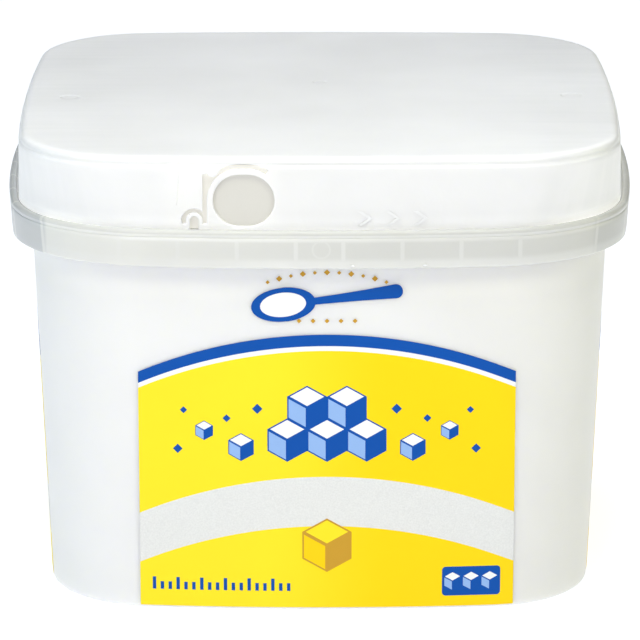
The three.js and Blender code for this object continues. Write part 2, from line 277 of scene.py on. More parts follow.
def inside(point, line):
    x, z = point
    odd = False
    for (ax, az), (bx, bz) in pairs(line):
        if (az > z) != (bz > z) and x < (bx - ax) * (z - az) / (bz - az) + ax:
            odd = not odd
    return odd


def faces_inside(points, triangles, outline, holes=()):
    """The triangles whose middle lies in an outline and in none of its holes."""
    kept = []
    for face in triangles:
        middle = tuple(sum(points[i][axis] for i in face) / 3 for axis in (0, 1))
        if inside(middle, outline) and not any(inside(middle, hole) for hole in holes):
            kept.append(tuple(face))
    return kept


def distances(points, segments):
    """The distance from each point to the nearest of some line segments."""
    p = np.array(points)[:, None, :]
    a = np.array([s[0] for s in segments])[None]
    b = np.array([s[1] for s in segments])[None]
    along = b - a
    length = np.maximum((along ** 2).sum(-1), 1e-12)
    t = np.clip(((p - a) * along).sum(-1) / length, 0, 1)
    return np.sqrt((((a + along * t[..., None]) - p) ** 2).sum(-1)).min(1)


# ---- tub ----

def wall_at(z):
    return between(BASE, WALL_TOP, z / COLLAR_UNDERSIDE_Z)


def collar_at(z):
    return between(COLLAR_FOOT, COLLAR_TOP, (z - COLLAR_FOOT_Z) / (COLLAR_BEAD_Z - COLLAR_FOOT_Z))


def tub_levels():
    """(outline, height) pairs up the wall, out and round the hanging collar, and up the neck."""
    under = COLLAR_UNDERSIDE_Z - UNDERSIDE_ROUND
    foot = COLLAR_FOOT_Z + COLLAR_FOOT_ROUND
    levels = [(inset(wall_at(BASE_ROUND), inwards), BASE_ROUND + up)
              for inwards, up in quarter_round(BASE_ROUND, -RIGHT_ANGLE, 0, 7)]
    levels += [(wall_at(z), z) for z in np.linspace(BASE_ROUND, under, 16)[1:]]
    levels += [(inset(wall_at(COLLAR_UNDERSIDE_Z), -outwards), under + up)
               for outwards, up in quarter_round(UNDERSIDE_ROUND, 0, RIGHT_ANGLE, 4)[1:]]
    levels += [(inset(collar_at(under + up), COLLAR_WALL + inwards), under + up)
               for inwards, up in quarter_round(UNDERSIDE_ROUND, RIGHT_ANGLE, 0, 4)]
    levels += [(inset(COLLAR_FOOT, COLLAR_WALL - outwards), foot + up)
               for outwards, up in quarter_round(COLLAR_FOOT_ROUND, 0, -RIGHT_ANGLE, 4)]
    levels += [(inset(COLLAR_FOOT, inwards), foot + up)
               for inwards, up in quarter_round(COLLAR_FOOT_ROUND, -RIGHT_ANGLE, 0, 4)]
    levels += [(collar_at(z), z) for z in np.linspace(foot, COLLAR_LEDGE_Z - 1.3, 5)[1:]]
    # A shallow groove parts the hanging wall from the bead above it.
    levels += [(inset(collar_at(COLLAR_LEDGE_Z - down), depth), COLLAR_LEDGE_Z - down)
               for down, depth in ((1.0, 0.22), (0.7, 0.05))]
    bead, radius = collar_at(COLLAR_BEAD_Z), COLLAR_BEAD_WIDTH / 2
    levels += [(inset(bead, inwards), COLLAR_BEAD_Z - radius + up)
               for inwards, up in quarter_round(radius, 0, math.pi, 10)]
    levels += [(inset(bead, COLLAR_BEAD_WIDTH + inwards), COLLAR_LEDGE_Z + up)
               for inwards, up in ((0.05, 0.15), (0.25, 0.0))]
    levels += [(inset(NECK_OUTLINE, -outwards), COLLAR_LEDGE_Z + up)
               for outwards, up in ((0.4, 0.0), (0.1, 0.12), (0.0, 0.4))]
    levels += [(NECK_OUTLINE, NECK_TOP_Z - NECK_TOP_BEVEL),
               (inset(NECK_OUTLINE, NECK_TOP_BEVEL), NECK_TOP_Z)]
    return levels


def rib_places():
    """Each rib's turn from the front, its offset to the side, and its inner and outer end."""
    places = []
    for quarter in range(4):
        for rib in range(RIB["each_way"]):
            for sign in (-1, 1):
                offset = sign * (RIB["first"] + rib * RIB["pitch"])
                inner = -front_point(WALL_TOP, offset)[0] - RIB["into_wall"]
                outer = -front_point(COLLAR_FOOT, offset)[0] - COLLAR_WALL / 2
                places.append((quarter * RIGHT_ANGLE, offset, inner, outer))
    inner = arcs(WALL_TOP)[2] * math.sqrt(2) + WALL_TOP[1] - RIB["into_wall"]
    outer = math.hypot(*CORNER_RIB) - COLLAR_WALL / 2
    aside = math.atan2(*CORNER_RIB)
    return places + [(turn, 0.0, inner, outer)
                     for turn in (aside, -aside, math.pi - aside, aside - math.pi)]


def make_tub():
    vertices, faces = [], []
    add_loft(vertices, faces, [ring(*level) for level in tub_levels()])
    body = new_object("tub_body", vertices, faces)
    vertices, faces = [], []
    for turn, offset, inner, outer in rib_places():
        plates = []
        for z, widen in ((RIB["foot_z"], 0.0),
                         (COLLAR_UNDERSIDE_Z + RIB["into_ceiling"], RIB["draft"])):
            half = RIB["thickness"] / 2 + widen
            corners = ((-half, -outer), (half, -outer), (half, -inner), (-half, -inner))
            plates.append([(*spun(x + offset, y, turn), z) for x, y in corners])
        add_loft(vertices, faces, plates)
    ribs = new_object("ribs", vertices, faces)
    join = body.modifiers.new("ribs", "BOOLEAN")
    join.operation = "UNION"
    join.solver = "EXACT"
    join.object = ribs
    with bpy.context.temp_override(object=body, active_object=body):
        bpy.ops.object.modifier_apply(modifier="ribs")
    bpy.data.meshes.remove(ribs.data)  # takes the object with it
    smooth(body.data, 40)
    return body


def beyond_wall(point):
    """How far a point in metres lies outside the face of the tub's tapering wall, in mm."""
    x, y, z = (c / MM for c in point)
    along, out = sorted((abs(x), abs(y)))
    return out + front_point(wall_at(min(z, COLLAR_UNDERSIDE_Z)), along)[0]


def make_nibs():
    """Two small beads of plastic on the foot of the collar, at the front."""
    rows, columns = 6, 10
    vertices, faces = [], []
    for x in COLLAR_NIBS["xs"]:
        middle = (x, front_point(collar_at(COLLAR_NIBS["z"]), x)[0], COLLAR_NIBS["z"])
        rings = []
        for row in range(rows + 1):
            rise = math.pi * (row / rows - 0.5)
            balls = [(*spun(math.cos(rise), 0.0, 2 * math.pi * column / columns), math.sin(rise))
                     for column in range(columns)]
            rings.append([tuple(m + b * h for m, b, h in zip(middle, ball, COLLAR_NIBS["half"]))
                          for ball in balls])
        add_loft(vertices, faces, rings)
    return new_object("collar_nibs", vertices, faces, smooth_angle=80)


# ---- lid ----

def lid_outline(z):
    """The outline of the lid's outer face, up to where its round edge starts."""
    foot, top = LID_SHOULDER["foot"], LID_SHOULDER["top"]
    if z < foot:
        return between(SKIRT_FOOT, LID, (z - SKIRT_FOOT_Z) / (foot - SKIRT_FOOT_Z))
    rise = min((z - foot) / (top - foot), 1.0)
    return inset(LID, LID_SHOULDER["inset"] * rise * rise * (3 - 2 * rise))


def surface(x, z, depth):
    """A point on the lid's front face at (x, z), less a depth into the wall."""
    y, normal = front_point(lid_outline(z), x)
    return (x - normal[0] * depth, y - normal[1] * depth, z)


def fillet(distance, radius=CUT_ROUND):
    """How far a rounded edge lies under the face, at a distance in from the edge."""
    if distance >= radius:
        return 0.0
    return radius - math.sqrt(max(radius * radius - (radius - distance) ** 2, 0.0))


# How far the rows of points beside a cut or above the foot lie from it.
CUT_ROWS = [inwards for inwards, _ in quarter_round(CUT_ROUND, 0, RIGHT_ANGLE, 4)[1:]] + [CUT_MARGIN]


def skirt_levels():
    foot, top = LID_SHOULDER["foot"], LID_SHOULDER["top"]
    levels = [SKIRT_FOOT_Z] + [SKIRT_FOOT_Z + d for d in CUT_ROWS]
    levels += list(np.linspace(SKIRT_FOOT_Z + CUT_MARGIN, foot, 9)[1:])
    levels += list(np.linspace(foot, top, 9)[1:])
    return levels + [ROUND_START_Z]


def arc_line(cx, cz, radius, start, end):
    """Points along an arc in (x, z), about the spacing of cuts apart."""
    count = max(int(abs(end - start) * radius / CUT_SPACING), 4)
    angles = [start + (end - start) * k / count for k in range(count + 1)]
    return [(cx + radius * math.cos(angle), cz + radius * math.sin(angle)) for angle in angles]


def spread(points, closed=True):
    """The same line with points no farther apart than the spacing of cuts."""
    result = []
    for (ax, az), (bx, bz) in pairs(points, closed):
        length = math.hypot(bx - ax, bz - az)
        if length > 1e-6:
            steps = math.ceil(length / CUT_SPACING)
            result += [(ax + (bx - ax) * k / steps, az + (bz - az) * k / steps)
                       for k in range(steps)]
    return result if closed else result + [points[-1]]


def hole_line():
    x, z, r, s = HOLE["x"], HOLE["z"], HOLE["radius"], HOLE["stretch"]
    return (arc_line(x + s, z, r, -RIGHT_ANGLE, RIGHT_ANGLE)
            + arc_line(x - s, z, r, RIGHT_ANGLE, 3 * RIGHT_ANGLE))


def slot_line():
    """The slot over the pull ring, down its left side and round the tongue, clockwise."""
    ring_radius = HOLE["radius"] + RING_WIDTH
    outer = ring_radius + SLOT["width"]
    right = HOLE["x"] + HOLE["stretch"]
    left = HOLE["x"] - HOLE["stretch"]
    z = HOLE["z"]
    slot_right = left - ring_radius
    slot_left = slot_right - SLOT["width"]
    inner_tongue = slot_left - TONGUE["x"]
    outer_tongue = slot_right - TONGUE["x"]
    meets = math.acos(inner_tongue / outer_tongue)
    lobe_start = math.atan2(-LOBE["radius"], slot_left - LOBE["x"])
    line = arc_line(right, z, ring_radius, SLOT["end_angle"], RIGHT_ANGLE)
    line += arc_line(left, z, ring_radius, RIGHT_ANGLE, math.pi)
    line += [(slot_right, SLOT["foot_z"]), (slot_left, SLOT["foot_z"])]
    line += arc_line(TONGUE["x"], TONGUE["z"], inner_tongue, 0, math.pi)
    line += [(TONGUE["x"] - inner_tongue, SLOT["foot_z"]), (TONGUE["x"] - outer_tongue, SLOT["foot_z"])]
    line += arc_line(TONGUE["x"], TONGUE["z"], outer_tongue, math.pi, meets)
    line += [(slot_left, SLOT["shoulder_z"])]
    line += arc_line(LOBE["x"], LOBE["z"], LOBE["radius"], lobe_start, LOBE["end"])
    line += arc_line(left, z, outer, LOBE["meets"], RIGHT_ANGLE)
    line += arc_line(right, z, outer, RIGHT_ANGLE, SLOT["end_angle"])
    return line


def notch_line():
    """The slit under the tongue, up its left side and down its right."""
    half = NOTCH["width"] / 2
    left, right, crown = TONGUE["x"] - half, TONGUE["x"] + half, NOTCH["top"] - half
    line = [(left, SKIRT_FOOT_Z), (left, crown)]
    line += arc_line(TONGUE["x"], crown, half, 0, math.pi)[-2::-1]
    return line + [(right, SKIRT_FOOT_Z)]


def offset_line(line, amount, segments, closed=True):
    """A line moved sideways (to its right) by an amount, less what falls nearer the cuts."""
    moved = []
    count = len(line)
    for k, (x, z) in enumerate(line):
        before = line[k - 1] if closed or k > 0 else line[k]
        after = line[(k + 1) % count] if closed or k < count - 1 else line[k]
        sides = ((x - before[0], z - before[1]), (after[0] - x, after[1] - z))
        normals = [(n[1] / math.hypot(*n), -n[0] / math.hypot(*n))
                   for n in sides if math.hypot(*n) > 1e-9]
        if len(normals) == 2:
            (px, pz), (qx, qz) = normals
            turn, dot = px * qz - pz * qx, px * qx + pz * qz
            if turn > 0.2 and dot < 0.98:
                # Round a corner that the moved line goes outside of.
                start, sweep = math.atan2(pz, px), math.atan2(turn, dot)
                normals = [(math.cos(start + sweep * s / 4), math.sin(start + sweep * s / 4))
                           for s in range(5)]
            else:
                size = math.hypot(px + qx, pz + qz)
                if size < 1e-6:
                    continue
                normals = [((px + qx) / size, (pz + qz) / size)]
        moved += [(x + nx * amount, z + nz * amount) for nx, nz in normals]
    far = distances(moved, segments)
    return [p for p, d in zip(moved, far) if d > amount - 1e-3]


def front_panel(left, right, top):
    """The skirt's front with its cuts: (x, z) points, triangles, and each point's depth.

    Its borders are lines of points up the left, up the right and along the top.
    """
    notch = notch_line()
    foot = spread([(left[0][0], SKIRT_FOOT_Z)] + notch + [(right[0][0], SKIRT_FOOT_Z)], False)
    # Both the cuts (anticlockwise) and the foot, walked backwards, have the wall on their right.
    back = foot[::-1]
    cuts = [spread(hole_line()), spread(slot_line())[::-1]]
    cut_sides = [side for cut in cuts for side in pairs(cut)]
    segments = pairs(foot, False) + cut_sides
    cut_segments = pairs(spread(notch, False), False) + cut_sides
    points, edges = [], []

    def add(line, closed=False):
        edges.extend(pairs(list(range(len(points), len(points) + len(line))), closed))
        points.extend(line)

    add(foot)
    for cut in cuts:
        add(cut, closed=True)
    for distance in CUT_ROWS:
        for cut in cuts:
            add(offset_line(cut, distance, segments), closed=True)
        moved = [p for p in offset_line(back, distance, segments, closed=False)
                 if left[0][0] + 0.4 < p[0] < right[0][0] - 0.4]
        z = SKIRT_FOOT_Z + distance
        level = min(range(len(left)), key=lambda k: abs(left[k][1] - z))
        add([right[level]] + moved + [left[level]])
    for border in (left, right, top):
        add(border)
    score = ((SCORE["foot_x"], SKIRT_FOOT_Z), (SCORE["top_x"], ROUND_START_Z))
    for shift in (-SCORE["width"] / 2, 0.0, SCORE["width"] / 2):
        middles = [between(*score, t) for t in np.linspace(0.0, SCORE["share"], 24)]
        add([(x + shift, z) for x, z in middles])
    shoulder = LID_SHOULDER["foot"]
    heights = list(np.arange(SKIRT_FOOT_Z + 1.4, shoulder - 0.4, GRID_SPACING))
    heights += [z for z in skirt_levels() if shoulder - 0.01 <= z < ROUND_START_Z - 0.01]
    xs = np.arange(left[0][0] + GRID_SPACING, right[0][0] - 1.0, GRID_SPACING)
    grid = [(float(x), float(z)) for x in xs for z in heights]
    far = distances(grid, segments + [score])
    points.extend(p for p, d in zip(grid, far) if d > GRID_SPACING / 2)

    xz, triangles = triangulate(points, edges)
    kept = faces_inside(xz, triangles, back + left + top + right[::-1], cuts)
    depths = []
    for (_, z), d, s in zip(xz, distances(xz, cut_segments), distances(xz, [score])):
        groove = SCORE["depth"] * max(1 - s / (SCORE["width"] / 2), 0.0)
        depths.append(max(fillet(d), fillet(z - SKIRT_FOOT_Z, FOOT_ROUND), groove))
    return xz, kept, depths


def make_lid():
    vertices, faces = [], []
    levels = skirt_levels()
    outlines = [outline_points(lid_outline(z)) for z in levels]

    def skin(depths):
        """Rings of vertex numbers up the skirt, each at its depth under the outer face."""
        return [add_points(vertices, [(p[0] - n[0] * depth, p[1] - n[1] * depth, z) for p, n in outline])
                for outline, z, depth in zip(outlines, levels, depths)]

    outer = skin([fillet(z - SKIRT_FOOT_Z, FOOT_ROUND) for z in levels])
    inner = skin([LID_THICKNESS] * len(levels))
    front = 3 * (SIDE_STEPS + CORNER_STEPS)
    across = [p[0] for p, _ in outline_points(LID)]
    columns = [k for k in range(front, front + SIDE_STEPS)
               if CUT_PANEL["left"] < across[k] < CUT_PANEL["right"]]
    first, last = columns[0], columns[-1]
    skipped = range(first, last)
    bridge(faces, inner[0], outer[0], skipped)
    for level in range(len(levels) - 1):
        bridge(faces, outer[level], outer[level + 1], skipped)
        bridge(faces, inner[level + 1], inner[level], skipped)

    lines = [[(p[0], z) for p, _ in outline] for outline, z in zip(outlines, levels)]
    borders = [line[first] for line in lines], [line[last] for line in lines], lines[-1][first:last + 1]
    xz, triangles, depths = front_panel(*borders)
    on_border = distances(xz, [side for line in borders for side in pairs(line, False)]) < 1e-4

    def goes_on(a, b):
        """Whether the skirt goes on beyond an edge of the cut panel."""
        return on_border[a] and on_border[b] and max(xz[a][1], xz[b][1]) > SKIRT_FOOT_Z + 1e-4

    add_shell(faces, add_points(vertices, [surface(*p, depth) for p, depth in zip(xz, depths)]),
              add_points(vertices, [surface(*p, LID_THICKNESS) for p in xz]), triangles, goes_on)

    # The round edge, the crowned plate and its flat underside close the lid.
    upper = inset(LID, LID_SHOULDER["inset"])
    plate = inset(upper, LID_EDGE["width"])
    lines = [ring(inset(upper, LID_EDGE["width"] * inwards), ROUND_START_Z + LID_EDGE["depth"] * up)
             for inwards, up in quarter_round(1, 0, RIGHT_ANGLE, 8)[1:]]
    lines += [ring([length * share for length in plate], LID_PLATE_Z + LID_CROWN * (1 - share * share))
              for share in PLATE_SHARES]
    below = outer[-1]
    for line in lines:
        above = add_points(vertices, line)
        bridge(faces, below, above)
        below = above
    faces.append(tuple(below))
    underside = add_points(vertices, ring(inset(upper, LID_THICKNESS), LID_PLATE_Z - LID_THICKNESS))
    bridge(faces, underside, inner[-1])
    faces.append(tuple(reversed(underside)))
    return new_object("lid_shell", vertices, faces, smooth_angle=35)


def make_arrows():
    """Low open arrowheads on the skirt."""
    vertices, faces = [], []
    z, w, h, stroke = ARROW["z"], ARROW["width"] / 2, ARROW["height"] / 2, ARROW["stroke"]
    for x in ARROW["xs"]:
        line = spread([(x - w, z + h), (x + w - stroke, z), (x - w, z - h),
                       (x - w + stroke, z - h), (x + w, z), (x - w + stroke, z + h)])
        xz, triangles = triangulate(line, pairs(list(range(len(line)))))
        add_shell(faces, *[add_points(vertices, [surface(*p, depth) for p in xz])
                           for depth in (-ARROW["relief"], ARROW["root"])],
                  faces_inside(xz, triangles, line))
    return new_object("lid_arrows", vertices, faces, smooth_angle=30)


# ---- print ----

def arch_z(crown, x, panel):
    """The height of an arched edge at x."""
    middle = (panel["left"] + panel["right"]) / 2
    half = (panel["right"] - panel["left"]) / 2
    radius = (half * half + PRINT_RISE ** 2) / (2 * PRINT_RISE)
    return crown - radius + math.sqrt(radius * radius - (x - middle) ** 2)


def field_line(top, foot, panel, flat_foot=False):
    """The outline of a field between two arched edges, or down to a level foot."""
    xs = [float(x) for x in np.linspace(panel["left"], panel["right"], 64)]
    return ([(x, arch_z(top, x, panel)) for x in xs]
            + [(x, foot if flat_foot else arch_z(foot, x, panel)) for x in reversed(xs)])


def base_inset(z):
    """How far the round at the foot of the wall lies inside it."""
    below = max(BASE_ROUND - z, 0.0)
    return BASE_ROUND - math.sqrt(BASE_ROUND ** 2 - below ** 2)


def refine(loop):
    """The same loop with a point every 2 mm at most, and where it crosses the base's round."""
    result = []
    for (ax, az), (bx, bz) in pairs(loop):
        steps = max(math.ceil(math.hypot(bx - ax, bz - az) / 2.0), 1)
        shares = [k / steps for k in range(steps)]
        if az != bz:
            shares += [(z - az) / (bz - az) for z in FOOT_LEVELS]
        result += [(ax + (bx - ax) * share, az + (bz - az) * share)
                   for share in sorted(t for t in shares if 0 <= t < 1)]
    return result


def add_patch(vertices, faces, line, turn, proud):
    """Adds a thin closed shell over a field drawn in (x, z), bent to the wall of one side."""
    line = refine(line)
    xs, zs = zip(*line)
    heights = list(np.arange(min(zs) + 1.2, max(zs), INK_GRID["up"]))
    if min(zs) < BASE_ROUND:
        heights += FOOT_LEVELS
    across = np.arange(min(xs) + 0.9, max(xs), INK_GRID["across"])
    grid = [(float(x), float(z)) for x in across for z in heights]
    grid = [p for p in grid if inside(p, line)]
    points = list(line)
    if grid:
        margins = [INK_GRID["margin" if z > BASE_ROUND + 0.1 else "round_margin"] for _, z in grid]
        far = distances(grid, pairs(line))
        points += [p for p, d, margin in zip(grid, far, margins) if d > margin]
    xz, triangles = triangulate(points, pairs(list(range(len(line)))))

    def place(x, z, lift):
        y, normal = front_point(inset(wall_at(z), base_inset(z)), x)
        return (*spun(x + normal[0] * lift, y + normal[1] * lift, turn), z)

    add_shell(faces, *[add_points(vertices, [place(x, z, lift) for x, z in xz])
                       for lift in (proud, -INK_ROOT)],
              faces_inside(xz, triangles, line))


SIDES = ("front", "right", "back", "left")


def make_field(name, side, lines, proud=FIELD_PROUD):
    """One piece of ink on one side: a thin shell for each line."""
    vertices, faces = [], []
    for line in lines:
        add_patch(vertices, faces, line, SIDES.index(side) * RIGHT_ANGLE, proud)
    return new_object(f"ink_{side}_{name}", vertices, faces, smooth_angle=50)


# ---- motifs ----

def cube_icon(x, z, size):
    """A sugar cube seen from above a corner: its outline, and its top, left and right faces."""
    rim = [(x + size * math.cos(math.radians(a)), z + size * math.sin(math.radians(a)))
           for a in (90, 30, -30, -90, -150, 150)]
    top, upper_right, lower_right, bottom, lower_left, upper_left = rim
    faces = []
    for face in ((top, upper_right, (x, z), upper_left),
                 (upper_left, (x, z), bottom, lower_left),
                 ((x, z), upper_right, lower_right, bottom)):
        middle = [sum(p[axis] for p in face) / 4 for axis in (0, 1)]
        faces.append([between(middle, p, CUBE_FACE_SHARE) for p in face])
    return rim, faces


def grain_icon(x, z, size):
    """A grain of sugar: a small square on its corner."""
    return [(x, z + size), (x + size, z), (x, z - size), (x - size, z)]


def spoon_line(sugar=False):
    """The outline of a teaspoon that lies on its side, or of the sugar in its bowl."""
    scale = SPOON["sugar_share"] if sugar else 1.0
    bowl, end, end_round = SPOON["bowl"], SPOON["end"], SPOON["end_round"]
    reach, half_width = SPOON["reach"] * scale, SPOON["half_width"] * scale
    us = [bowl - reach * math.cos(math.pi * k / 40) for k in range(41)]
    if not sugar:
        us += [bowl + reach + (end - bowl - reach) * k / 30 for k in range(1, 31)]
        us += [end - end_round * (1 - math.sin(RIGHT_ANGLE * k / 8)) for k in range(9)]
    half_widths = []
    for u in sorted(set(us)):
        w = half_width * math.sqrt(max(1 - ((u - bowl) / reach) ** 2, 0.0))
        if not sugar and u > bowl:
            handle = SPOON["neck"] + SPOON["flare"] * ((u - bowl) / (end - bowl)) ** 2
            if u > end - end_round:
                handle *= math.sqrt(max(1 - ((u - end + end_round) / end_round) ** 2, 0.0))
            w = math.hypot(w, handle) if u < bowl + reach else handle
        half_widths.append((u, w))
    line = half_widths[:-1] + [(u, -w) for u, w in reversed(half_widths[1:])]
    tilted = [spun(u, w, SPOON["tilt"]) for u, w in line]
    return [(PANEL_MIDDLE + x, SPOON["z"] + z) for x, z in tilted]


def rounded_box(left, right, foot, top, radius):
    middles = ((right - radius, top - radius), (left + radius, top - radius),
               (left + radius, foot + radius), (right - radius, foot + radius))
    line = []
    for quarter, (cx, cz) in enumerate(middles):
        angles = [(quarter + step / 4) * RIGHT_ANGLE for step in range(5)]
        line += [(cx + radius * math.cos(angle), cz + radius * math.sin(angle)) for angle in angles]
    return line


def front_motifs():
    """The motifs of the front as {colour: outlines}, those that lie on others last."""
    step, pile_z, size = PILE["size"] * math.sqrt(3), PILE["z"], PILE["size"]
    cubes = [(PANEL_MIDDLE + step * k, pile_z, size) for k in (-1, 0, 1)]
    cubes += [(PANEL_MIDDLE + step * k, pile_z + 1.5 * size, size) for k in (-0.5, 0.5)]
    grains = []
    for sign in (-1, 1):
        cubes += [(PANEL_MIDDLE + sign * away, z, size) for away, z, size in LOOSE_CUBES]
        grains += [(PANEL_MIDDLE + sign * away, z, size) for away, z, size in LOOSE_GRAINS]
    badge_middle = (BADGE["left"] + BADGE["right"]) / 2
    badge_z = (BADGE["foot"] + BADGE["top"]) / 2
    small = [(badge_middle + BADGE["cube_pitch"] * k, badge_z, BADGE["cube_size"]) for k in (-1, 0, 1)]
    gold_rim, gold_faces = cube_icon(PANEL_MIDDLE, GOLD_CUBE["z"], GOLD_CUBE["size"])

    gold = [gold_rim]
    for k in range(GRAIN_ARC["count"]):
        angle = GRAIN_ARC["half_angle"] * (2 * k / (GRAIN_ARC["count"] - 1) - 1)
        x = PANEL_MIDDLE + GRAIN_ARC["radius"] * math.sin(angle)
        z = GRAIN_ARC["crown"] - GRAIN_ARC["radius"] * (1 - math.cos(angle))
        gold.append(grain_icon(x, z, GRAIN_ARC["sizes"][k % 2]))
    for k in range(-GRAIN_ROW["each_side"], GRAIN_ROW["each_side"] + 1):
        gold.append(grain_icon(PANEL_MIDDLE + k * GRAIN_ROW["pitch"], GRAIN_ROW["z"], GRAIN_ROW["size"]))
    navy = [cube_icon(*cube)[0] for cube in cubes] + [grain_icon(*grain) for grain in grains]
    navy.append(spoon_line())
    foot = SCALE_BARS["foot"]
    for k in range(SCALE_BARS["count"]):
        left = SCALE_BARS["left"] + k * SCALE_BARS["pitch"]
        right = left + SCALE_BARS["width"]
        top = foot + SCALE_BARS["short" if k % SCALE_BARS["long_each"] else "long"]
        navy.append([(left, top), (left, foot), (right, foot), (right, top)])
    navy.append(rounded_box(BADGE["left"], BADGE["right"], BADGE["foot"], BADGE["top"], BADGE["round"]))
    cube_faces = [cube_icon(*cube)[1] for cube in cubes + small]
    return {
        "navy_motifs": navy,
        "gold_motifs": gold,
        "white_motifs": [faces[0] for faces in cube_faces] + [spoon_line(sugar=True)],
        "pale_motifs": [faces[1] for faces in cube_faces],
        "lemon_motifs": [gold_faces[0]],
        "golden_motifs": [gold_faces[1]],
    }


# ---- materials ----

def fill(node, inputs):
    """Sets inputs of a node by name: plain values, or outputs of other nodes."""
    for name, value in inputs.items():
        if isinstance(value, bpy.types.NodeSocket):
            node.id_data.links.new(value, node.inputs[name])
        else:
            node.inputs[name].default_value = value


def add_node(tree, kind, inputs, **settings):
    node = tree.nodes.new("ShaderNode" + kind)
    for name, value in settings.items():
        setattr(node, name, value)
    fill(node, inputs)
    return node


def calculate(operation, *values):
    """One sum of a node tree; its values are outputs of other nodes, or numbers."""
    tree = next(value.id_data for value in values if isinstance(value, bpy.types.NodeSocket))
    return add_node(tree, "Math", dict(enumerate(values)), operation=operation).outputs[0]


def product(first, *others):
    for other in others:
        first = calculate("MULTIPLY", first, other)
    return first


def off(value, middle):
    """How far a position lies from a middle in mm, either way."""
    return calculate("ABSOLUTE", calculate("SUBTRACT", value, middle * MM))


def fade(value, start, end, low, high):
    """A smooth change from low to high while a position goes from start to end, in mm."""
    ends = {"From Min": start * MM, "From Max": end * MM, "To Min": low, "To Max": high}
    settings = {"interpolation_type": "SMOOTHSTEP"}
    return add_node(value.id_data, "MapRange", {"Value": value, **ends}, **settings).outputs["Result"]


def noise(where, scale, detail):
    inputs = {"Vector": where, "Scale": scale, "Detail": detail}
    return add_node(where.id_data, "TexNoise", inputs).outputs["Fac"]


def ramp(value, low, high):
    """A change from one colour to another, from and to a value: (value, colour)."""
    node = add_node(value.id_data, "ValToRGB", {"Fac": value})
    for element, (position, color) in zip(node.color_ramp.elements, (low, high)):
        element.position = position
        element.color = (*color, 1)
    return node.outputs["Color"]


def object_place(finish):
    return add_node(finish.node_tree, "TexCoord", {}).outputs["Object"]


def coordinates(finish):
    """The object's own X, Y and Z, in metres."""
    return add_node(finish.node_tree, "SeparateXYZ", {"Vector": object_place(finish)}).outputs[:]


def radial_distance(across, along, center):
    """How far a point of a face lies from a center in mm, by two of its coordinates."""
    squares = []
    for value, middle in zip((across, along), center):
        away = calculate("SUBTRACT", value, middle * MM)
        squares.append(product(away, away))
    return calculate("SQRT", calculate("ADD", *squares))


def shader_of(finish):
    return finish.node_tree.nodes["Principled BSDF"]


def multiply_tint(finish, color, factor):
    """Multiply the base colour of a finish by a colour, as far as the factor says."""
    base = shader_of(finish).inputs["Base Color"]
    tint = color if isinstance(color, bpy.types.NodeSocket) else (*color, 1)
    inputs = {"A": base.links[0].from_socket, "B": tint, "Factor": factor}
    mix = add_node(finish.node_tree, "Mix", inputs, data_type="RGBA", blend_type="MULTIPLY")
    fill(shader_of(finish), {"Base Color": mix.outputs["Result"]})


def add_glow(finish, color, strength):
    fill(shader_of(finish), {"Emission Color": (*color, 1), "Emission Strength": strength})


def material(name, color, roughness=0.4, bump_scale=900, bump_strength=0.12, mottle=0.012,
             subsurface=0.0, radius=(1.0, 1.0, 0.9), mottle_scale=60.0, specular=0.5):
    """A finish with faint clouds in its colour and roughness, and a fine uneven skin."""
    result = bpy.data.materials.new(name)
    result.use_nodes = True
    tree = result.node_tree
    where = object_place(result)
    cloud = noise(where, mottle_scale, 4)
    skin = noise(where, bump_scale, 3)
    darker = [c * (1 - mottle) for c in color]
    paler = [min(c * (1 + mottle), 1) for c in color]
    bump = add_node(tree, "Bump", {"Strength": bump_strength, "Distance": 0.2 * MM, "Height": skin})
    rough = add_node(tree, "MapRange", {"Value": cloud, "To Min": roughness - 0.05,
                                        "To Max": roughness + 0.05})
    inputs = {
        "Base Color": ramp(cloud, (0.3, darker), (0.7, paler)),
        "Normal": bump.outputs["Normal"],
        "Roughness": rough.outputs["Result"],
        "Specular IOR Level": specular,
    }
    if subsurface:
        inputs.update({"Subsurface Weight": subsurface, "Subsurface Radius": radius,
                       "Subsurface Scale": MM})
    fill(shader_of(result), inputs)
    return result


def ink(name, color, mottle=0.012):
    return material(name, color, mottle=mottle, specular=0.15)


